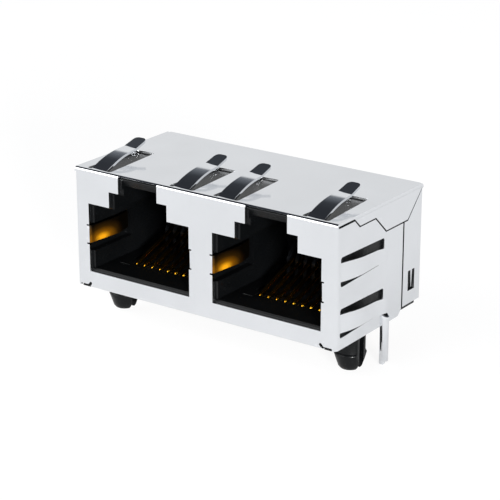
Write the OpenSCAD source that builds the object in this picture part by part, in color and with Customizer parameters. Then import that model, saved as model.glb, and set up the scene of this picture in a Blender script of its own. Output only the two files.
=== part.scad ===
// Two-port shielded modular jack for a circuit board.
// Lengths are in millimetres. x runs to the right as seen from the ports, y runs into the jack
// and z = 0 is the board's top face. The two board pegs stand on the x axis, evenly about x = 0.
// Every module works in the shield's own axes, with y = 0 at the front face and z = 0 at the
// lower edge of the side walls, and in_board_axes() moves the finished piece.

/* [Shield] */
// Overall width of the folded shield
shield_w = 32; // [31.8:0.1:34]
// Overall depth, from the front face to the back wall
shield_d = 15.8; // [15.6:0.1:18]
// Height of the top plate above the lower edge of the side walls
shield_h = 12.8; // [12.7:0.05:14]
// Thickness of the sheet
sheet_t = 0.25; // [0.2:0.01:0.28]
// Outer radius of the main folds
fold_r = 0.45; // [0.35:0.05:0.6]
// Outer radius of the top plate's folds to the front and to the back
top_fold_r = 0.32; // [0.3:0.01:0.45]
// Width of the open seams between folded panels
seam_gap = 0.14; // [0.08:0.02:0.25]
// How far the front flange hangs below the side walls
flange_drop = 0.15; // [0.05:0.05:0.3]
// Depth of the flange tucked under the housing
flange_depth = 1.9; // [1:0.1:2.2]
// Distance from the flange's end to the side face, taken by the corner relief
relief_inset = 1.6; // [1.3:0.1:2]
// Height of the slot between the flange's fold and a side wall's fold
relief_h = 0.24; // [0.15:0.01:0.28]
// Radius of the corner relief's round end
relief_r = 0.16; // [0.12:0.01:0.18]

/* [Port cut-outs] */
// Distance between the centres of the two ports
port_pitch = 15.68; // [15.4:0.04:16]
// Lower edge of the port cut-outs
port_sill = 1.75; // [1.5:0.05:2]
// Width of the wide part, where the plug's body goes
plug_w = 12.81; // [12.6:0.05:13]
// Height of the wide part
plug_h = 7.39; // [7.2:0.05:7.6]
// Width of the step above it
key_w = 7.37; // [7:0.05:7.8]
// Height of the step
key_h = 1.7; // [1.5:0.05:1.8]
// Width of the slot for the plug's latch
latch_w = 4.91; // [4.6:0.05:5.4]
// Bevel round the housing's mouths
mouth_bevel = 0.27; // [0.15:0.02:0.4]

/* [Ground fingers] */
// Distance from the middle to the centre of each inner top finger
inner_finger_x = 2.69; // [2.5:0.01:2.9]
// Distance from the middle to the centre of each outer top finger
outer_finger_x = 13.14; // [13:0.01:13.3]
// Height of the lower side finger's centre line
low_finger_z = 2.66; // [2.5:0.02:2.8]
// Height of the upper side finger's centre line
high_finger_z = 7.88; // [7:0.02:8]
// Width of a finger at its root
finger_w = 1.9; // [1.6:0.05:2.1]
// Width of a finger at its tip
finger_tip_w = 1.5; // [1.2:0.02:1.6]
// Reach of a finger over the sheet
finger_l = 7.1; // [6.8:0.1:7.4]
// Radius of the corners of a finger's tip
finger_tip_r = 0.5; // [0.3:0.05:0.6]
// Slope at which a top finger leaves the sheet, in degrees
top_finger_slope = 21.5; // [16:0.5:26]
// Slope at which a side finger leaves the sheet, in degrees
side_finger_slope = 15; // [10:0.5:20]
// Angle by which a finger's tip turns up again, in degrees
tip_kick = 12; // [6:0.5:16]
// Length of a finger's cut-out
finger_slot_l = 7.8; // [7.5:0.05:8.2]
// Width of a cut-out at the finger's root
finger_slot_w = 3; // [2.6:0.05:3.1]
// Width of a top finger's cut-out at its far end
top_slot_end_w = 2.2; // [2:0.05:2.6]
// Width of a side finger's cut-out at its far end
side_slot_end_w = 2.55; // [2.2:0.05:2.8]
// Corner radius of a finger's cut-out
finger_slot_r = 0.25; // [0.15:0.05:0.5]

/* [Plug springs] */
// Height of a plug spring's lower edge
spring_z = 4.77; // [4.5:0.05:5]
// Width of a plug spring
spring_w = 2.0; // [1.6:0.1:2.2]
// Height of the slit above and below it
slit_h = 0.16; // [0.1:0.02:0.25]
// Length of a spring along the port's wall
spring_l = 5.6; // [4.5:0.1:6]
// Angle at which a spring leans into the port, in degrees
spring_lean = 6; // [3:0.5:8]

/* [Back wings] */
// Length of each wing along the side
wing_l = 3.6; // [3.2:0.1:4]
// Width of the upright seam in front of a wing
wing_gap = 0.24; // [0.15:0.01:0.3]
// Height of the wings' and the back wall's lower edge
wing_sill = 0.72; // [0.5:0.02:1]
// Width of the wing's window
window_w = 1.26; // [1:0.02:1.5]
// Height of the wing's window
window_h = 2.15; // [1.8:0.05:2.6]
// Lower edge of the window
window_z = 2.1; // [1.8:0.05:2.6]
// Distance from the window's middle to the back face
window_setback = 2.02; // [1.8:0.02:2.2]
// Width of the pointed tongue that hangs in the window
tongue_root_w = 0.32; // [0.2:0.02:0.5]

/* [Ground pins] */
// Distance from the front face to a pin's axis
pin_y = 8.83; // [8.6:0.05:9.2]
// Width of a pin across its rolled rib
pin_w = 0.92; // [0.8:0.02:1.1]
// Length of a pin below the side wall
pin_l = 4.36; // [3.6:0.02:4.5]
// Length of the flat tip below the rib
pin_tip_l = 0.72; // [0.6:0.02:0.9]
// Height of the open top end of the rib
pin_top = 1.06; // [0.8:0.02:1.2]
// Slope of the rib's two open ends, as fall over width
pin_end_fall = 0.5; // [0.3:0.05:0.8]
// Wall of the rolled rib
pin_wall = 0.16; // [0.12:0.01:0.2]

/* [Housing] */
// Clearance between the housing and the sheet round it
shell_gap = 0.05; // [0.03:0.01:0.1]
// Gap between the housing's back and the back wall
back_gap = 0.4; // [0.1:0.05:0.6]
// Height of the port's floor
floor_z = 2.05; // [1.95:0.05:2.2]
// Depth of the latch slot, where the closed part of the housing starts
latch_depth = 13; // [12:0.1:13.4]
// Depth of the bevel over the latch slot
ramp_depth = 0.45; // [0.3:0.05:0.7]
// Height of the bevel over the latch slot
ramp_h = 0.9; // [0.5:0.05:1]
// Depth of the feet at the housing's front corners
foot_l = 1.9; // [1:0.1:2.2]
// Radius of the housing's outer edges
housing_r = 0.2; // [0.15:0.01:0.3]
// Bevel of the ports' floor at the mouth
sill_bevel = 0.15; // [0.1:0.01:0.2]
// Depth of the pockets behind the plug springs
pocket_d = 0.75; // [0.6:0.05:0.8]
// How far a pocket reaches below its spring
pocket_below = 0.87; // [0.6:0.01:1]

/* [Board pegs] */
// Distance between the axes of the two pegs
peg_pitch = 28.4; // [28:0.1:28.6]
// Distance from the front face to the pegs
peg_setback = 5.46; // [5.2:0.02:5.8]
// Diameter of a peg's shank
peg_d = 3.0; // [2.8:0.05:3.1]
// Diameter of the barb at its widest
barb_d = 3.3; // [3.1:0.05:3.4]
// Diameter of the peg's end
peg_end_d = 2.2; // [1.8:0.05:2.4]
// Depth of the barb's widest ring below the side wall
barb_z = 2.18; // [1.9:0.02:2.4]
// Length of the peg below the side wall
peg_l = 3.79; // [3.2:0.01:3.9]
// Width of a peg across its two flats
peg_flats = 2.6; // [2.4:0.05:2.8]
// Width of the slot that splits a peg
peg_slot = 0.79; // [0.5:0.01:1]
// Height of the barb's ledge, sloped to let the peg out again
ledge = 0.12; // [0.1:0.01:0.2]

/* [Contacts] */
// Number of contacts in a port
contact_count = 8; // [2:2:8]
// Distance between neighbouring contacts
contact_pitch = 1.016; // [1:0.002:1.02]
// Diameter of the contact wire
wire_d = 0.4; // [0.3:0.02:0.46]
// Distance from the front face to the centre of the hairpin
hairpin_y = 4.6; // [4.4:0.05:5]
// Radius of the hairpin's centre line
hairpin_r = 0.45; // [0.4:0.01:0.5]
// Slope of the contact over the port's floor, in degrees
contact_slope = 20; // [18:0.5:22]
// Height of the wire's lower run
run_z = 1.1; // [1:0.02:1.2]
// Distance from the pegs to the nearer row of tails
tail_row = 6.35; // [6.2:0.01:6.5]
// Distance between the two rows of tails
row_pitch = 2.54; // [2.4:0.01:2.6]
// Length of the tails below the side wall
tail_l = 3.3; // [2.8:0.1:3.6]
// Radius of the bend where a tail turns into the carrier
tail_bend_r = 0.78; // [0.76:0.01:0.85]

/* [Contact carriers] */
// Clearance between a carrier and the housing
carrier_gap = 0.05; // [0.03:0.01:0.1]
// Clearance between a wire and what it passes through
wire_gap = 0.03; // [0.02:0.01:0.05]
// Distance from the front face to the comb that parts the contacts
comb_y = 9.9; // [9.5:0.1:10.5]
// Distance from the front face to the carrier's back wall
carrier_wall_y = 12.8; // [12.6:0.05:13]
// Thickness of a comb rib
comb_rib = 0.4; // [0.3:0.02:0.44]
// Height of a comb rib's front edge
comb_front_z = 4; // [3.8:0.05:4.4]
// Height of the comb where it joins the back wall
comb_back_z = 6.6; // [6:0.1:7]

/* [Hidden] */
$fn = 64;
port_signs = [-1, 1];

side_x = shield_w / 2;
inner_x = side_x - sheet_t;
past = 1;                       // how far cutters run past a face
edge = 0.01;                    // overlap where two pieces of sheet are fused

// Heights of the steps in a port cut-out
plug_top = port_sill + plug_h;
key_top = plug_top + key_h;
latch_top = shield_h - fold_r / 4;
slit_reach = 0.3;               // how far a spring's slits reach past the cut-out

// Seams on the sides, measured from the front face and the top plate
flap_y = 2.8;
flap_step = 1.15;
flap_drop = 3;
flap_points = [
    [flap_y, shield_h - seam_gap / 2], [flap_y + flap_step, shield_h - flap_step],
    [6.8, shield_h - flap_step], [8.8, shield_h - flap_drop],
    [shield_d - flap_drop, shield_h - flap_drop], [shield_d - 0.1, shield_h - 0.1]
];
seam_shift = [0.6, 1] * seam_gap;   // moves a seam's line square to its mean slope
wall_top = shield_h - sheet_t - 0.2;
wall_end = shield_d - wing_l - wing_gap;
wall_foot = 0.6;                // height of the short slope at the wall's lower back corner
relief_slant = 50;              // slant of the corner relief's cut, in degrees
relief_cut_l = 0.5;             // and its length from the round end

// Finger profiles: each leaves the sheet in a short bend, runs straight for its rise, bends over
// a long crest to the slope called level, runs straight again and turns up at the tip
finger_bend_r = 0.5;
kick_r = 1.2;
top_finger_legs = finger_legs(root = 0.02, slope = top_finger_slope, rise = 1,
                              crest_r = 10.4, level = 3.5, flat = 0.75);
side_finger_legs = finger_legs(root = 0.21, slope = side_finger_slope, rise = 1.26,
                               crest_r = 8.7, level = 1, flat = 1.9);
side_slot_gap = 0.2;            // from the corner fold to a side finger's cut-out

// Port cavity inside the housing
cavity_w = plug_w - 2 * mouth_bevel;
cavity_top = plug_top - mouth_bevel;
housing_front = sheet_t + shell_gap;
housing_back = shield_d - sheet_t - back_gap;
housing_bottom = sheet_t - flange_drop + shell_gap;
housing_top = shield_h - sheet_t - shell_gap;
housing_w = 2 * (inner_x - shell_gap);
hairpin_slot_l = 1.5;
foot_gap = 0.1;                 // clearance of the corner feet beside the flange's ends
floor_slot = [-4.45, 3.2];      // middle of the shallow slot in a port's floor
floor_slot_size = [1.2, 0.25, 0.25];

// Carrier
tongue_w = contact_count * contact_pitch + 1;
tongue_front = hairpin_y + 0.25;
tongue_top = floor_z - 0.2;
slot_gap = 0.1;                 // clearance of a wire in the floor's slot
comb_nose = [0.35, 0.5];        // slope of a comb rib's front edge

// Contact path
slope_start = [hairpin_y - hairpin_r * sin(contact_slope),
               run_z + hairpin_r + hairpin_r * cos(contact_slope)];
free_end_gap = 0.35;            // from a contact's free end to the carrier's back wall
slope_l = (carrier_wall_y - free_end_gap - slope_start.x) / cos(contact_slope);

function contact_x(i) = (i - (contact_count - 1) / 2) * contact_pitch;
function tail_y(i) = peg_setback + tail_row + (i % 2) * row_pitch;

// --- bent strips -------------------------------------------------------------------------

// Points along a bend of a strip's centre line, each as [x, y, heading]
function bend(from, heading, turn, r) =
    let (s = sign(turn), c = from + r * s * [-sin(heading), cos(heading)], n = ceil(abs(turn) / 3))
    [for (i = [1 : n]) let (a = heading + turn * i / n) [c.x + r * s * sin(a), c.y - r * s * cos(a), a]];

// Centre line made of legs, each [straight length, turn after it, radius of that bend]
function centre_line(from, heading, legs, i = 0) =
    i == len(legs) ? [[from.x, from.y, heading]] :
    let (end = from + legs[i][0] * [cos(heading), sin(heading)],
         turned = legs[i][1] == 0 ? [] : bend(end, heading, legs[i][1], legs[i][2]),
         next = legs[i][1] == 0 ? end : [turned[len(turned) - 1].x, turned[len(turned) - 1].y])
    concat([[from.x, from.y, heading]], legs[i][1] == 0 ? [] : [[end.x, end.y, heading]],
           len(turned) < 2 ? [] : [for (k = [0 : len(turned) - 2]) turned[k]],
           centre_line(next, heading + legs[i][1], legs, i + 1));

module strip(from, heading, legs, t = sheet_t) {
    line = centre_line(from, heading, legs);
    n = len(line);
    polygon(concat(
        [for (p = line) [p.x - sin(p[2]) * t / 2, p.y + cos(p[2]) * t / 2]],
        [for (i = [1 : n]) let (p = line[n - i]) [p.x + sin(p[2]) * t / 2, p.y - cos(p[2]) * t / 2]]
    ));
}

// --- helpers -----------------------------------------------------------------------------

module in_board_axes() {
    translate([0, -peg_setback, flange_drop]) children();
}

// Extrudes a shape drawn in the y-z plane from x = a to x = b
module along_x(a, b) {
    translate([a, 0, 0]) rotate([90, 0, 90]) linear_extrude(b - a) children();
}

// Extrudes a shape drawn in the x-z plane from y = a to y = b
module along_y(a, b) {
    translate([0, b, 0]) rotate([90, 0, 0]) linear_extrude(b - a) children();
}

module both_sides() {
    children();
    mirror([1, 0, 0]) children();
}

// Rectangle from one corner to the other, with all corners rounded
module rounded(a, b, r) {
    translate([a.x + r, a.y]) square([b.x - a.x - 2 * r, b.y - a.y]);
    translate([a.x, a.y + r]) square([b.x - a.x, b.y - a.y - 2 * r]);
    for (x = [a.x + r, b.x - r], y = [a.y + r, b.y - r]) translate([x, y]) circle(r);
}

// Outline of a sheet folded round the inside of that rectangle
module folded(a, b, r, t) {
    difference() {
        rounded(a, b, r);
        rounded(a + [t, t], b - [t, t], r - t);
    }
}

// Stepped outline of a port, grown by g on every edge but the sill
module port_outline(g, top, sill) {
    half = [plug_w / 2 + g, key_w / 2 + g, latch_w / 2 + g];
    polygon([
        [-half[0], sill], [half[0], sill], [half[0], plug_top + g], [half[1], plug_top + g],
        [half[1], key_top + g], [half[2], key_top + g], [half[2], top], [-half[2], top],
        [-half[2], key_top + g], [-half[1], key_top + g], [-half[1], plug_top + g],
        [-half[0], plug_top + g]
    ]);
}

// --- shield ------------------------------------------------------------------------------

// Front face and side walls, up to the zig-zag seam
module shield_front() {
    intersection() {
        linear_extrude(wall_top) folded([-side_x, 0], [side_x, shield_d], fold_r, sheet_t);
        along_x(-side_x - past, side_x + past) polygon(concat(
            [[-past, -past], [wall_end - wall_foot, -past], [wall_end - wall_foot, 0],
             [wall_end, wall_foot], [wall_end, flap_points[3].y - seam_gap]],
            [for (i = [3 : -1 : 0]) flap_points[i] - seam_shift],
            [[flap_y - seam_gap, wall_top], [-past, wall_top + past]]
        ));
    }
}

// Back wall and the two wings folded forward from it
module shield_back() {
    front = shield_d - wing_l;
    corner = flap_points[4];
    intersection() {
        linear_extrude(wall_top) folded([-side_x, 0], [side_x, shield_d], fold_r, sheet_t);
        along_x(-side_x - past, side_x + past) polygon([
            [front, wing_sill], [shield_d + past, wing_sill], [shield_d + past, shield_h],
            [shield_d, shield_h - seam_gap], corner + [seam_shift.x, -seam_shift.y],
            [front, corner.y - seam_gap]
        ]);
    }
}

// Top plate with its folds to the front and to the back
module shield_top() {
    along_x(-side_x + sheet_t / 5, side_x - sheet_t / 5) intersection() {
        folded([0, 0], [shield_d, shield_h], top_fold_r, sheet_t);
        translate([0, wall_top - edge]) square([shield_d, shield_h]);
    }
}

// Flaps folded down from the top plate, with the zig-zag lower edge
module shield_flaps() {
    intersection() {
        along_y(0, shield_d) folded([-side_x, -past], [side_x, shield_h], fold_r, sheet_t);
        along_x(-side_x - past, side_x + past) polygon(concat(
            flap_points, [[shield_d - 0.1, shield_h + past], [flap_y, shield_h + past]]
        ));
    }
}

// Flange turned in under the housing along the front's lower edge
module shield_flange() {
    end = side_x - relief_inset;
    along_x(-end, end) intersection() {
        folded([0, -flange_drop], [shield_d, shield_h], fold_r, sheet_t);
        translate([0, -flange_drop]) square([flange_depth, flange_drop + fold_r + edge]);
    }
}

// Slot, open below, and the slanted round-ended cut that free the flange from a side wall's fold
module corner_relief() {
    end = side_x - relief_inset;
    along_y(-past, sheet_t + past / 2) {
        translate([end, -past]) square([relief_inset - fold_r - edge, past + relief_h]);
        translate([end - relief_r, relief_h + relief_r]) {
            circle(relief_r);
            rotate(-relief_slant) translate([0, -relief_r]) square([relief_cut_l, 2 * relief_r]);
        }
    }
}

// Quarter circle round centre c, as points from angle a on
function corner_arc(c, r, a) = [for (k = [0 : 4]) c + r * [cos(a + 22.5 * k), sin(a + 22.5 * k)]];

// Plan of a finger along +x: short straight root, then a taper to a tip with round corners
module finger_plan() {
    r = finger_tip_r;
    straight = finger_l / 6;
    half = finger_w / 2;
    tip = finger_tip_w / 2 - r;
    polygon(concat(
        [[0, half], [0, -half], [straight, -half]],
        corner_arc([finger_l - r, -tip], r, -90), corner_arc([finger_l - r, tip], r, 0),
        [[straight, half]]
    ));
}

// Plan of a finger's cut-out along +x, narrower at the far end
module finger_slot_plan(end_w) {
    r = finger_slot_r;
    root = finger_slot_w / 2 - r;
    end = end_w / 2 - r;
    l = finger_slot_l - r;
    polygon(concat(
        corner_arc([r, root], r, 90), corner_arc([r, -root], r, 180),
        corner_arc([l, -end], r, 270), corner_arc([l, end], r, 0)
    ));
}

// Legs of a finger's profile, for strip(); the last one runs past the plan's tip
function finger_legs(root, slope, rise, crest_r, level, flat) = [
    [root, slope, finger_bend_r], [rise, level - slope, crest_r],
    [flat, tip_kick, kick_r], [2 * past, 0, 0]
];

// Finger that starts at the fold's end on a sheet whose outer face is z = 0, rising to +z
module finger(legs) {
    intersection() {
        along_x(-finger_w, finger_w) strip([fold_r, -sheet_t / 2], 0, legs);
        translate([0, fold_r, -past]) rotate(90) linear_extrude(finger_l) finger_plan();
    }
}

module top_fingers() {
    for (x = [inner_finger_x, outer_finger_x]) translate([x, 0, shield_h])
        finger(top_finger_legs);
}

module top_finger_cutouts() {
    for (x = [inner_finger_x, outer_finger_x])
        translate([x, fold_r + edge, shield_h - sheet_t - past / 4]) rotate(90)
            linear_extrude(sheet_t + past / 2) finger_slot_plan(top_slot_end_w);
}

module side_fingers() {
    for (z = [low_finger_z, high_finger_z])
        translate([side_x, 0, z]) rotate([0, 90, 0]) finger(side_finger_legs);
}

module side_finger_cutouts() {
    for (z = [low_finger_z, high_finger_z])
        along_x(inner_x - past / 4, side_x + past / 2)
            translate([fold_r + side_slot_gap, z]) finger_slot_plan(side_slot_end_w);
}

// Spring at a port's right side edge, turned in and bowed into the port
module plug_spring() {
    r = 0.4 - sheet_t / 2;
    translate([plug_w / 2 + slit_reach + edge, 0, spring_z + slit_h / 2])
        linear_extrude(spring_w - slit_h) strip([0, sheet_t / 2], 180, [
            [0.05, -90, r], [0.3, spring_lean, 1.5],
            [0.55 * spring_l, -3 * spring_lean, 2], [0.3 * spring_l, 0, 0]
        ]);
}

module plug_spring_slits() {
    translate([plug_w / 2 - past, -past / 2, spring_z - slit_h / 2])
        cube([past + slit_reach, sheet_t + past, spring_w + slit_h]);
}

// Section of a pin: straight legs in the sheet, from x_from on, and a half-round rib outside it
module pin_section(r, x_from) {
    translate([x_from, -r]) square([side_x - x_from, 2 * r]);
    intersection() {
        translate([side_x, 0]) circle(r);
        translate([side_x - edge, -r]) square([r + 2 * edge, 2 * r]);
    }
}

// Ground pin: a rib rolled out of the side wall, open at both slanted ends, over a round flat tip
module ground_pin() {
    r = pin_w / 2;
    foot = pin_tip_l - pin_l;
    translate([0, pin_y, 0]) {
        intersection() {
            translate([0, 0, -pin_l]) linear_extrude(pin_l + pin_top) difference() {
                pin_section(r, inner_x);
                pin_section(r - pin_wall, inner_x - past);
            }
            along_y(-r, r) polygon([
                [inner_x, foot], [side_x, foot], [side_x + past, foot - pin_end_fall],
                [side_x + past, pin_top - pin_end_fall], [side_x, pin_top], [inner_x, pin_top]
            ]);
        }
        along_x(inner_x, side_x) {
            translate([-r, r - pin_l]) square([2 * r, pin_tip_l - r + edge]);
            translate([0, r - pin_l]) circle(r);
        }
    }
}

// Opening in the side wall behind a pin's rib
module pin_cutout() {
    translate([0, pin_y, -past]) linear_extrude(pin_top + past)
        pin_section(pin_w / 2 - pin_wall, inner_x - past / 4);
}

// Window in a wing, and the pointed tongue that hangs in it
module window_cutout() {
    along_x(inner_x - past / 4, side_x + past / 2)
        translate([shield_d - window_setback - window_w / 2, window_z])
            square([window_w, window_h]);
}

module window_tongue() {
    root = tongue_root_w / 2;
    tip = 0.3;                  // height of the point over the window's lower edge
    along_x(inner_x, side_x) translate([shield_d - window_setback, window_z])
        polygon([[-root, window_h + edge], [root, window_h + edge], [0.03, tip], [-0.03, tip]]);
}

// Everything that is cut out of the folded sheet
module shield_cutouts() {
    both_sides() {
        corner_relief();
        top_finger_cutouts();
        side_finger_cutouts();
        window_cutout();
        pin_cutout();
    }
    for (port = port_signs) translate([port * port_pitch / 2, 0, 0]) {
        along_y(-past, sheet_t + fold_r) port_outline(0, latch_top, port_sill);
        both_sides() plug_spring_slits();
    }
}

// Front and sides with the lower front edge left free for the flange
module shield_wrap() {
    difference() {
        shield_front();
        translate([relief_inset - side_x, -past, -past])
            cube([shield_w - 2 * relief_inset, past + sheet_t + edge, past + fold_r - flange_drop]);
    }
}

module shield() {
    color("silver") in_board_axes() {
        difference() {
            union() {
                shield_wrap();
                shield_flange();
                shield_back();
                shield_top();
                shield_flaps();
            }
            shield_cutouts();
        }
        both_sides() {
            top_fingers();
            side_fingers();
            ground_pin();
            window_tongue();
        }
        for (port = port_signs) translate([port * port_pitch / 2, 0, 0])
            both_sides() plug_spring();
    }
}

// --- housing -----------------------------------------------------------------------------

// Split snap peg that holds the jack on the board
module peg() {
    top = housing_bottom + housing_r + edge;
    chamfer = 0.1;
    difference() {
        intersection() {
            rotate_extrude() polygon([
                [0, top], [peg_d / 2, top], [peg_d / 2, ledge + chamfer - barb_z],
                [barb_d / 2 - chamfer / 2, ledge - barb_z], [barb_d / 2, -barb_z],
                [peg_end_d / 2 + chamfer, 2.5 * chamfer - peg_l],
                [peg_end_d / 2 - chamfer, -peg_l], [0, -peg_l]
            ]);
            translate([-peg_flats / 2, -barb_d, -peg_l - past])
                cube([peg_flats, 2 * barb_d, peg_l + 2 * past]);
        }
        translate([-barb_d, -peg_slot / 2, -peg_l - past])
            cube([2 * barb_d, peg_slot, peg_l + past - housing_r]);
    }
}

// Port cavity with bevelled mouth, its springs' pockets and the slots for the contacts' bends
module port_cavity() {
    b = mouth_bevel;
    front = housing_front;
    // plug's space, open to the back for the carrier
    translate([-cavity_w / 2, front - past, floor_z])
        cube([cavity_w, housing_back - front + 2 * past, cavity_top - floor_z]);
    translate([b - key_w / 2, front - past, floor_z])
        cube([key_w - 2 * b, latch_depth - front + past, key_top - b - floor_z]);
    translate([b - latch_w / 2, front - past, floor_z])
        cube([latch_w - 2 * b, latch_depth - front + past, housing_top - ramp_h - floor_z]);
    // bevels of the mouth, one wedge for each edge
    for (side = [-1, 1]) {
        bevel_side(side, plug_w / 2, floor_z, plug_top);
        bevel_side(side, key_w / 2, floor_z, key_top);
        bevel_side(side, latch_w / 2, floor_z, housing_top - ramp_h);
    }
    along_x(-plug_w / 2, plug_w / 2) bevel_top(plug_top);
    along_x(-key_w / 2, key_w / 2) bevel_top(key_top);
    along_x(b - latch_w / 2, latch_w / 2 - b) polygon([
        [front - past, floor_z], [front - past, housing_top - housing_r],
        [front, housing_top - housing_r], [front + ramp_depth, housing_top - ramp_h],
        [front + ramp_depth, floor_z]
    ]);
    along_x(-cavity_w / 2, cavity_w / 2) polygon([
        [front - past, floor_z + edge], [front - past, floor_z - sill_bevel],
        [front, floor_z - sill_bevel], [front + sill_bevel, floor_z],
        [front + sill_bevel, floor_z + edge]
    ]);
    // pockets behind the plug springs
    translate([-cavity_w / 2 - pocket_d, front - past, spring_z - pocket_below])
        cube([cavity_w + 2 * pocket_d, past + spring_l + pocket_d,
              pocket_below + spring_w + slit_h]);
    // slots in the floor for the hairpins
    for (i = [0 : contact_count - 1])
        translate([contact_x(i) - wire_d / 2 - slot_gap,
                   hairpin_y - hairpin_r - wire_d / 2 - 2 * slot_gap,
                   run_z - wire_d / 2 - slot_gap])
            cube([wire_d + 2 * slot_gap, hairpin_slot_l, floor_z]);
    translate([floor_slot.x - floor_slot_size.x / 2, floor_slot.y - floor_slot_size.y / 2,
               floor_z - floor_slot_size.z])
        cube(floor_slot_size + [0, 0, edge]);
    // way in for the carrier's tongue and back wall
    translate([-tongue_w / 2 - carrier_gap, tongue_front - carrier_gap, housing_bottom - past])
        cube([tongue_w + 2 * carrier_gap, housing_back, floor_z - housing_bottom + past + edge]);
    translate([-cavity_w / 2, carrier_wall_y - carrier_gap, housing_bottom - past])
        cube([cavity_w, housing_back, floor_z - housing_bottom + past + edge]);
}

module bevel_side(side, x, low, high) {
    b = mouth_bevel;
    front = housing_front;
    translate([0, 0, low]) linear_extrude(high - b - low) polygon([
        [side * x, front - past], [side * x, front], [side * (x - b), front + b], [0, front + b],
        [0, front - past]
    ]);
}

module bevel_top(z) {
    b = mouth_bevel;
    front = housing_front;
    polygon([
        [front - past, floor_z], [front - past, z], [front, z], [front + b, z - b],
        [front + b, floor_z]
    ]);
}

// Solid block with rounded edges that stays clear of the shield's folds
module housing_block() {
    half = housing_w / 2;
    intersection() {
        translate([0, 0, housing_bottom]) linear_extrude(housing_top - housing_bottom)
            rounded([-half, housing_front], [half, housing_back], housing_r);
        along_x(-half, half)
            rounded([housing_front, housing_bottom], [housing_back, housing_top], housing_r);
        along_y(housing_front, housing_back)
            rounded([-half, housing_bottom], [half, housing_top], housing_r);
    }
}

// Foot at a front corner, level with the flange's underside
module corner_foot() {
    from = side_x - relief_inset + foot_gap;
    translate([from, housing_front, -flange_drop])
        cube([housing_w / 2 - housing_r - from, foot_l, housing_bottom + housing_r + flange_drop]);
}

module housing() {
    color("#1c1d1f") in_board_axes() {
        difference() {
            housing_block();
            for (port = port_signs) translate([port * port_pitch / 2, 0, 0]) port_cavity();
        }
        both_sides() {
            corner_foot();
            translate([peg_pitch / 2, peg_setback, 0]) peg();
        }
    }
}

// --- contacts ----------------------------------------------------------------------------

// Round wire of one contact, from its board tail through the hairpin to its free end
module contact_wire(i, r) {
    y = tail_y(i);
    translate([contact_x(i), y, -tail_l]) cylinder(r = r, h = tail_l + run_z - tail_bend_r);
    translate([contact_x(i), y - tail_bend_r, run_z - tail_bend_r]) rotate([90, 0, 90])
        rotate_extrude(angle = 90) translate([tail_bend_r, 0]) circle(r);
    translate([contact_x(i), hairpin_y, run_z]) rotate([-90, 0, 0])
        cylinder(r = r, h = y - tail_bend_r - hairpin_y);
    translate([contact_x(i), hairpin_y, run_z + hairpin_r]) rotate([90, 0, 90])
        rotate([0, 0, 90 + contact_slope]) rotate_extrude(angle = 180 - contact_slope)
            translate([hairpin_r, 0]) circle(r);
    translate([contact_x(i), slope_start.x, slope_start.y]) rotate([contact_slope - 90, 0, 0])
        cylinder(r = r, h = slope_l);
}

module contact(port, i) {
    color("gold") in_board_axes() translate([port * port_pitch / 2, 0, 0])
        contact_wire(i, wire_d / 2);
}

// --- contact carriers --------------------------------------------------------------------

// Moulded block that holds one port's contacts: tongue, comb and back wall
module carrier(port) {
    wall_w = cavity_w - 2 * carrier_gap;
    color("#26272a") in_board_axes() translate([port * port_pitch / 2, 0, 0]) difference() {
        union() {
            translate([-tongue_w / 2, tongue_front, housing_bottom + carrier_gap])
                cube([tongue_w, housing_back - tongue_front - carrier_gap,
                      tongue_top - housing_bottom - carrier_gap]);
            translate([-wall_w / 2, carrier_wall_y, housing_bottom + carrier_gap])
                cube([wall_w, housing_back - carrier_wall_y - carrier_gap,
                      cavity_top - housing_bottom - 2 * carrier_gap]);
            for (i = [0 : contact_count])
                translate([contact_x(i - 0.5) - comb_rib / 2, 0, 0]) along_x(0, comb_rib) polygon([
                    [comb_y, tongue_top - edge], [comb_y, comb_front_z],
                    [comb_y, comb_front_z] + comb_nose, [carrier_wall_y + edge, comb_back_z],
                    [carrier_wall_y + edge, tongue_top - edge]
                ]);
        }
        for (i = [0 : contact_count - 1]) contact_wire(i, wire_d / 2 + wire_gap);
    }
}

module contact_carrier_left() {
    carrier(-1);
}

module contact_carrier_right() {
    carrier(1);
}

// --- nodes -------------------------------------------------------------------------------

shield();
housing();
contact_carrier_left();
contact_carrier_right();
for (i = [0 : contact_count - 1]) {
    contact(-1, i);
    contact(1, i);
}
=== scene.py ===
"""Looks of the two-port shielded modular jack: plated sheet, moulded black housing, gilt wires.

Lengths named or passed in mm are turned to the scene's metres with MM.
"""

import math

import bmesh
import bpy
from mathutils import Matrix, Vector


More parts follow.
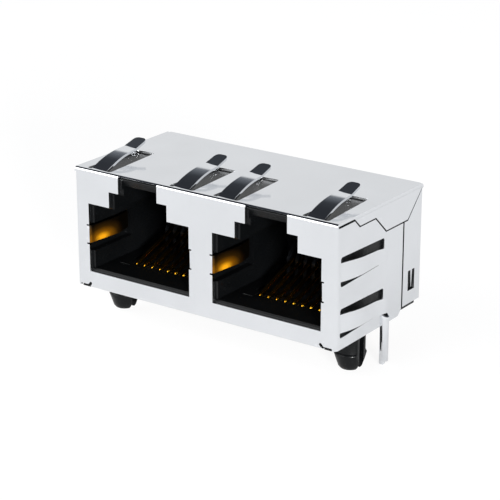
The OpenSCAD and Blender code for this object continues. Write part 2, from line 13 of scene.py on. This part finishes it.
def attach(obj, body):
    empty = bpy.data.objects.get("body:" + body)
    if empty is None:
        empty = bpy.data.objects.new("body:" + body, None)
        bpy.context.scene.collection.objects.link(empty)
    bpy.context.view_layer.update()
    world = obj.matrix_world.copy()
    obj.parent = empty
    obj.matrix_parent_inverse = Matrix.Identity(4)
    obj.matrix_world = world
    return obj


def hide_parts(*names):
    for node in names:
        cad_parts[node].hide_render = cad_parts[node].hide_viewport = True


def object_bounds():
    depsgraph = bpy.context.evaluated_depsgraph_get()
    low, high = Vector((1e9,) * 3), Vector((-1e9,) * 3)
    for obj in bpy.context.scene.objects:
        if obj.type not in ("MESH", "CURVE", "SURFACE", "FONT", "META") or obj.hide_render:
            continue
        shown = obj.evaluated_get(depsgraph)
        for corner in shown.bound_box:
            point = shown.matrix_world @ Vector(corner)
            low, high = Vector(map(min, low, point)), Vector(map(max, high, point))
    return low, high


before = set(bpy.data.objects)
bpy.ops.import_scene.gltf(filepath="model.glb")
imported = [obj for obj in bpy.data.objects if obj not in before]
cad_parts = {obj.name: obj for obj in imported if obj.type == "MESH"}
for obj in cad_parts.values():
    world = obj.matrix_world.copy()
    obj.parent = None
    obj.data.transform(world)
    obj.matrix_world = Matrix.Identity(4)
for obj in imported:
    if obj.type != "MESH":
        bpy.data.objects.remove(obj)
cad_box = [[float(v) for v in corner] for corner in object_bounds()]

MM = 0.001
SHARP_ANGLE = math.radians(32)      # edges that turn further than this are rounded off
FLAT_ANGLE = math.radians(0.3)      # triangles that turn less than this make one flat face
SAME_POINT = 0.0005                 # mm, corners closer than this are one

# Rounding of the edges, in mm
SHEET_EDGE = 0.025
HOUSING_EDGE = 0.05
CARRIER_EDGE = 0.03
WIRE_EDGE = 0.03

# Left plug spring of each port, in mm: a painted gold reflection is put on its face to the
# plug. Left plug spring of each port, in mm: the guessed gold flash is put on its face to the
# plug
SPRING_X = ((-14.5, -13.7), (1.2, 2.0))
SPRING_Y = (-5.4, 0.9)
SPRING_Z = (4.9, 6.9)
REFLECTION_MIDDLE_Y, REFLECTION_REACH_Y = -3.6, 3.3      # middle of the painted reflection and how far it reaches
REFLECTION_MIDDLE_Z, REFLECTION_REACH_Z = 5.2, 1.7


# --- materials ---------------------------------------------------------------------------

def linear(code, alpha=1.0):
    """An sRGB hex colour as linear RGBA."""
    values = [int(code[i:i + 2], 16) / 255 for i in (0, 2, 4)]
    return [v / 12.92 if v <= 0.04045 else ((v + 0.055) / 1.055) ** 2.4 for v in values] + [alpha]


def grains(size_mm):
    """How many grains of this size lie in a metre, which is a pattern's scale."""
    return 1 / (size_mm * MM)


def add(tree, kind, settings=None, **links):
    """Adds a node, sets its sockets and properties, and links sockets to other nodes' outputs.

    A setting or link goes by its socket's name, or by its number: 1 in settings, i1 in links.
    The setting "stops" holds the (position, hex colour) pairs of a colour ramp.
    """
    node = tree.nodes.new(kind)
    for key, value in (settings or {}).items():
        if key == "stops":
            band = node.color_ramp.elements
            while len(band) < len(value):
                band.new(0.5)
            for element, (position, code) in zip(band, value):
                element.position = position
                element.color = linear(code)
        elif isinstance(key, int) or key in node.inputs:
            node.inputs[key].default_value = value
        else:
            setattr(node, key, value)
    for key, source in links.items():
        numbered = key[0] == "i" and key[1:].isdigit()
        target = node.inputs[int(key[1:]) if numbered else key.replace("_", " ")]
        tree.links.new(source, target)
    return node


def new_material(name):
    """An empty material, its node tree and the place on the piece that its patterns start from."""
    material = bpy.data.materials.new(name)
    material.use_nodes = True
    tree = material.node_tree
    tree.nodes.clear()
    return material, tree, add(tree, "ShaderNodeTexCoord").outputs["Object"]


def nickel_plated_sheet():
    """Rolled copper-alloy strip, stamped, folded and nickel plated.

    The plating gives a bright, nearly neutral mirror with a faint haze. The rolling leaves fine
    streaks along the strip, drawn at 0.05 mm, coarser than the real 0.01 mm, so that they show.
    """
    material, tree, place = new_material("nickel_plated_sheet")
    streaks = add(tree, "ShaderNodeMapping",
                  {"Scale": (grains(3.333), grains(3.333), grains(0.05))}, Vector=place)
    grain = add(tree, "ShaderNodeTexNoise", {"Scale": 1.0, "Detail": 3.0, "Roughness": 0.6},
                Vector=streaks.outputs["Vector"]).outputs["Fac"]
    haze = add(tree, "ShaderNodeTexNoise",
               {"Scale": grains(6.25), "Detail": 3.0, "Roughness": 0.5},
               Vector=place).outputs["Fac"]
    colour = add(tree, "ShaderNodeValToRGB", {"stops": [(0.3, "DEE0E3"), (0.7, "E3E5E8")]},
                 i0=haze)
    roughness = add(tree, "ShaderNodeMapRange", {"From Min": 0.3, "From Max": 0.7,
                                                 "To Min": 0.075, "To Max": 0.095}, Value=haze)
    bump = add(tree, "ShaderNodeBump", {"Strength": 0.03, "Distance": 0.004 * MM}, Height=grain)
    shader = add(tree, "ShaderNodeBsdfPrincipled", {"Metallic": 1.0},
                 Base_Color=colour.outputs["Color"], Roughness=roughness.outputs["Result"],
                 Normal=bump.outputs["Normal"])
    add(tree, "ShaderNodeOutputMaterial", Surface=shader.outputs["BSDF"])
    return material


def moulded_black(name, colours, gloss):
    """Glass-filled black plastic, injection moulded in a spark-eroded tool.

    The filler and the tool leave a fine matt grit, 0.06 mm across, and broad faint flow marks.
    The specular level is matched well under a bare plastic's, to keep the sheen low.
    Colours are the dark and light end of the flow marks, gloss the least and most roughness.
    """
    material, tree, place = new_material(name)
    grit = add(tree, "ShaderNodeTexNoise",
               {"Scale": grains(0.0625), "Detail": 2.0, "Roughness": 0.5},
               Vector=place).outputs["Fac"]
    flow = add(tree, "ShaderNodeTexNoise",
               {"Scale": grains(3.846), "Detail": 2.0, "Roughness": 0.5},
               Vector=place).outputs["Fac"]
    colour = add(tree, "ShaderNodeValToRGB", {"stops": [(0.3, colours[0]), (0.7, colours[1])]},
                 i0=flow)
    roughness = add(tree, "ShaderNodeMapRange", {"From Min": 0.3, "From Max": 0.7,
                                                 "To Min": gloss[0], "To Max": gloss[1]},
                    Value=grit)
    bump = add(tree, "ShaderNodeBump", {"Strength": 0.25, "Distance": 0.004 * MM}, Height=grit)
    shader = add(tree, "ShaderNodeBsdfPrincipled", {"IOR": 1.5, "Specular IOR Level": 0.15},
                 Base_Color=colour.outputs["Color"], Roughness=roughness.outputs["Result"],
                 Normal=bump.outputs["Normal"])
    add(tree, "ShaderNodeOutputMaterial", Surface=shader.outputs["BSDF"])
    return material


def gold_plated_wire():
    """Drawn phosphor-bronze wire under a thin bright gold plate.

    The plate is a little uneven over one wire's width, 0.4 mm, so its colour and gloss vary.
    """
    material, tree, place = new_material("gold_plated_wire")
    uneven = add(tree, "ShaderNodeTexNoise",
                 {"Scale": grains(0.4), "Detail": 2.0, "Roughness": 0.5},
                 Vector=place).outputs["Fac"]
    colour = add(tree, "ShaderNodeValToRGB", {"stops": [(0.3, "F2AE20"), (0.7, "FABE30")]},
                 i0=uneven)
    roughness = add(tree, "ShaderNodeMapRange", {"From Min": 0.3, "From Max": 0.7,
                                                 "To Min": 0.14, "To Max": 0.2}, Value=uneven)
    bump = add(tree, "ShaderNodeBump", {"Strength": 0.1, "Distance": 0.002 * MM}, Height=uneven)
    shader = add(tree, "ShaderNodeBsdfPrincipled", {"Metallic": 1.0},
                 Base_Color=colour.outputs["Color"], Roughness=roughness.outputs["Result"],
                 Normal=bump.outputs["Normal"])
    add(tree, "ShaderNodeOutputMaterial", Surface=shader.outputs["BSDF"])
    return material


def painted_gold_reflection():
    """Amber patch on a plug spring: a painted gold reflection that fades out from its middle.

    A painted reflection, not a known finish: its colour stands in for the gold contacts mirrored
    in the plain nickel spring. A guess, not a known finish. The real spring may well be plain
    nickel that mirrors the gold contacts, and then this patch is wrong: leave
    paint_spring_reflections out to get plain nickel. Its colours, reach and dull roughness are
    given here and aren't a real plating's values.
    """
    material, tree, place = new_material("painted_gold_reflection")
    apart = add(tree, "ShaderNodeSeparateXYZ", i0=place).outputs
    along = add(tree, "ShaderNodeMapRange",
                {"clamp": False, "From Min": (REFLECTION_MIDDLE_Y - REFLECTION_REACH_Y) * MM,
                 "From Max": (REFLECTION_MIDDLE_Y + REFLECTION_REACH_Y) * MM, "To Min": -1.0, "To Max": 1.0},
                Value=apart["Y"])
    across = add(tree, "ShaderNodeMapRange",
                 {"clamp": False, "From Min": (REFLECTION_MIDDLE_Z - REFLECTION_REACH_Z) * MM,
                  "From Max": (REFLECTION_MIDDLE_Z + REFLECTION_REACH_Z) * MM, "To Min": -1.0, "To Max": 1.0},
                 Value=apart["Z"])
    spot = add(tree, "ShaderNodeCombineXYZ", i0=along.outputs["Result"],
               i1=across.outputs["Result"])
    painted_glow = add(tree, "ShaderNodeTexGradient", {"gradient_type": "SPHERICAL"},
                Vector=spot.outputs["Vector"]).outputs["Fac"]
    # painted reflection: dark brown at its rim, bright gold in its middle where the mirrored glow
    # is strongest
    colour = add(tree, "ShaderNodeValToRGB",
                 {"stops": [(0.0, "1C160E"), (0.35, "48300E"), (0.65, "9A640E"),
                            (0.9, "FFBE20")]}, i0=painted_glow)
    roughness = add(tree, "ShaderNodeMapRange", {"From Min": 0.0, "From Max": 0.8,
                                                 "To Min": 0.5, "To Max": 0.75}, Value=painted_glow)
    shader = add(tree, "ShaderNodeBsdfPrincipled", {"Metallic": 1.0},
                 Base_Color=colour.outputs["Color"], Roughness=roughness.outputs["Result"])
    add(tree, "ShaderNodeOutputMaterial", Surface=shader.outputs["BSDF"])
    return material


# --- pieces ------------------------------------------------------------------------------

def apply_modifiers(piece):
    """Keeps the evaluated mesh, so that no modifier is left on the piece."""
    bpy.context.view_layer.update()
    graph = bpy.context.evaluated_depsgraph_get()
    mesh = bpy.data.meshes.new_from_object(piece.evaluated_get(graph))
    piece.modifiers.clear()
    piece.data = mesh


def dressed(name, node, material, edge_mm, whole_faces=False):
    """A copy of a CAD node with its curves shaded smooth and its edges rounded off.

    Whole faces join each flat face's triangles, so that long bent strips mirror evenly.
    """
    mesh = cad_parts[node].data.copy()
    work = bmesh.new()
    work.from_mesh(mesh)
    bmesh.ops.remove_doubles(work, verts=work.verts, dist=SAME_POINT * MM)
    if whole_faces:
        bmesh.ops.dissolve_limit(work, angle_limit=FLAT_ANGLE, verts=work.verts,
                                 edges=work.edges)
    work.to_mesh(mesh)
    work.free()
    mesh.materials.clear()
    mesh.materials.append(material)
    piece = bpy.data.objects.new(name, mesh)
    bpy.context.scene.collection.objects.link(piece)

    bevel = piece.modifiers.new("edges", "BEVEL")
    bevel.width = edge_mm * MM
    bevel.segments = 2
    bevel.limit_method = "ANGLE"
    bevel.angle_limit = SHARP_ANGLE
    bevel.miter_outer = "MITER_ARC"
    apply_modifiers(piece)

    for face in piece.data.polygons:
        face.use_smooth = True
    piece.data.set_sharp_from_angle(angle=SHARP_ANGLE)
    weighted = piece.modifiers.new("normals", "WEIGHTED_NORMAL")
    weighted.keep_sharp = True
    apply_modifiers(piece)

    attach(piece, "root")
    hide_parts(node)
    return piece


def paint_spring_reflections(shield):
    """Puts the painted gold reflection on each port's left plug spring, on the side to the plug.
    Puts the guessed gold flash on each port's left plug spring, on the side to the plug.
    """
    shield.data.materials.append(painted_gold_reflection())
    for face in shield.data.polygons:
        x, y, z = face.center / MM
        on_spring = (any(low < x < high for low, high in SPRING_X)
                     and SPRING_Y[0] < y < SPRING_Y[1] and SPRING_Z[0] < z < SPRING_Z[1])
        if on_spring and face.normal.x > 0.4:
            face.material_index = 1


housing_black = moulded_black("moulded_black_polyester", ("060708", "0A0B0C"), (0.24, 0.34))
carrier_black = moulded_black("moulded_black_liquid_crystal_polymer", ("101113", "17191C"),
                              (0.2, 0.3))
gilt = gold_plated_wire()

# the shield's left plug springs get the painted gold reflection
paint_spring_reflections(dressed("folded_shield", "shield", nickel_plated_sheet(), SHEET_EDGE,
                      whole_faces=True))
dressed("moulded_housing", "housing", housing_black, HOUSING_EDGE)
for side in ("left", "right"):
    dressed(f"carrier_{side}", f"contact_carrier_{side}", carrier_black,
            CARRIER_EDGE)
    for i in range(1, 9):
        dressed(f"wire_{side}_{i}", f"contact_{side}_{i}", gilt, WIRE_EDGE)


# --- floor, light and camera ---------------------------------------------------------------

def studio_floor(level):
    """Pale matt board under the jack. It is white to the camera, but for its shadow.

    In mirrors it is part white and part lit board, which keeps a soft shade on the walls.
    """
    mesh = bpy.data.meshes.new("studio_floor")
    work = bmesh.new()
    bmesh.ops.create_circle(work, cap_ends=True, segments=96, radius=1.2,
                            matrix=Matrix.Translation((0, 0, level)))
    work.to_mesh(mesh)
    work.free()
    floor = bpy.data.objects.new("studio_floor", mesh)
    bpy.context.scene.collection.objects.link(floor)

    material, tree, _ = new_material("pale_matt_board")
    board = add(tree, "ShaderNodeBsdfDiffuse", {"Color": linear("F4F4F4")})
    glow = add(tree, "ShaderNodeEmission", {"Color": linear("FFFFFF"), "Strength": 1.05})
    path = add(tree, "ShaderNodeLightPath").outputs
    seen = add(tree, "ShaderNodeMath", {"operation": "MAXIMUM"}, i0=path["Is Camera Ray"],
               i1=path["Is Transmission Ray"])
    seen_share = add(tree, "ShaderNodeMath", {"operation": "MULTIPLY", 1: 0.85},
                     i0=seen.outputs["Value"])
    share = add(tree, "ShaderNodeMath", {"operation": "MULTIPLY_ADD", 1: 0.42},
                i0=path["Is Glossy Ray"], i2=seen_share.outputs["Value"])
    mixed = add(tree, "ShaderNodeMixShader", i0=share.outputs["Value"],
                i1=board.outputs["BSDF"], i2=glow.outputs["Emission"])
    add(tree, "ShaderNodeOutputMaterial", Surface=mixed.outputs["Shader"])
    mesh.materials.append(material)


def studio_world():
    """Pale walls, a dark band above them and a pale ceiling; the camera sees plain white."""
    world = bpy.data.worlds.new("studio")
    bpy.context.scene.world = world
    world.use_nodes = True
    tree = world.node_tree
    tree.nodes.clear()
    direction = add(tree, "ShaderNodeTexCoord").outputs["Generated"]
    height = add(tree, "ShaderNodeSeparateXYZ", i0=direction).outputs["Z"]
    walls = add(tree, "ShaderNodeValToRGB",
                {"stops": [(0.0, "FFFFFF"), (0.33, "ECEDEE"), (0.44, "F4F5F6"),
                           (0.475, "7C8086"), (0.55, "64686E"), (0.64, "3C3F44"),
                           (0.766, "303237"), (0.86, "383A3F"), (0.93, "A8ACB2"),
                           (1.0, "D8DBDF")]}, i0=height)
    room = add(tree, "ShaderNodeBackground", {"Strength": 1.0}, Color=walls.outputs["Color"])
    white = add(tree, "ShaderNodeBackground", {"Color": linear("FFFFFF"), "Strength": 1.0})
    seen = add(tree, "ShaderNodeLightPath").outputs["Is Camera Ray"]
    mixed = add(tree, "ShaderNodeMixShader", i0=seen, i1=room.outputs["Background"],
                i2=white.outputs["Background"])
    add(tree, "ShaderNodeOutputWorld", Surface=mixed.outputs["Shader"])


def softbox(name, place, size, power, aim=(0, 0, 5 * MM)):
    """A lit sheet of cloth, in metres and watts, turned to face the jack's middle."""
    lamp = bpy.data.lights.new(name, "AREA")
    lamp.shape = "RECTANGLE"
    lamp.size, lamp.size_y = size
    lamp.energy = power
    holder = bpy.data.objects.new(name, lamp)
    holder.location = place
    holder.rotation_euler = (Vector(aim) - Vector(place)).to_track_quat("-Z", "Y").to_euler()
    bpy.context.scene.collection.objects.link(holder)


def studio_camera(place_mm, right, up):
    """Long lens, a little above the jack and to its right."""
    lens = bpy.data.cameras.new("camera")
    lens.sensor_width = 36
    lens.lens = 135.31
    lens.clip_start = 10 * MM
    camera = bpy.data.objects.new("camera", lens)
    turn = Matrix((right, up, right.cross(up))).transposed().to_4x4()
    camera.matrix_world = Matrix.Translation(place_mm * MM) @ turn
    bpy.context.scene.collection.objects.link(camera)
    bpy.context.scene.camera = camera


studio_floor(cad_box[0][2])
studio_world()
softbox("front_softbox", (-0.35, -0.45, 0.35), (0.75, 0.45), 3.9)
softbox("side_softbox", (0.5, -0.42, 0.12), (0.12, 0.12), 8.0)
studio_camera(Vector((104.56, -144.76, 70.04)), right=Vector((0.8163, 0.5776, 0.0)),
              up=Vector((-0.1961, 0.2772, 0.9406)))
bpy.context.scene.view_settings.view_transform = "Standard"
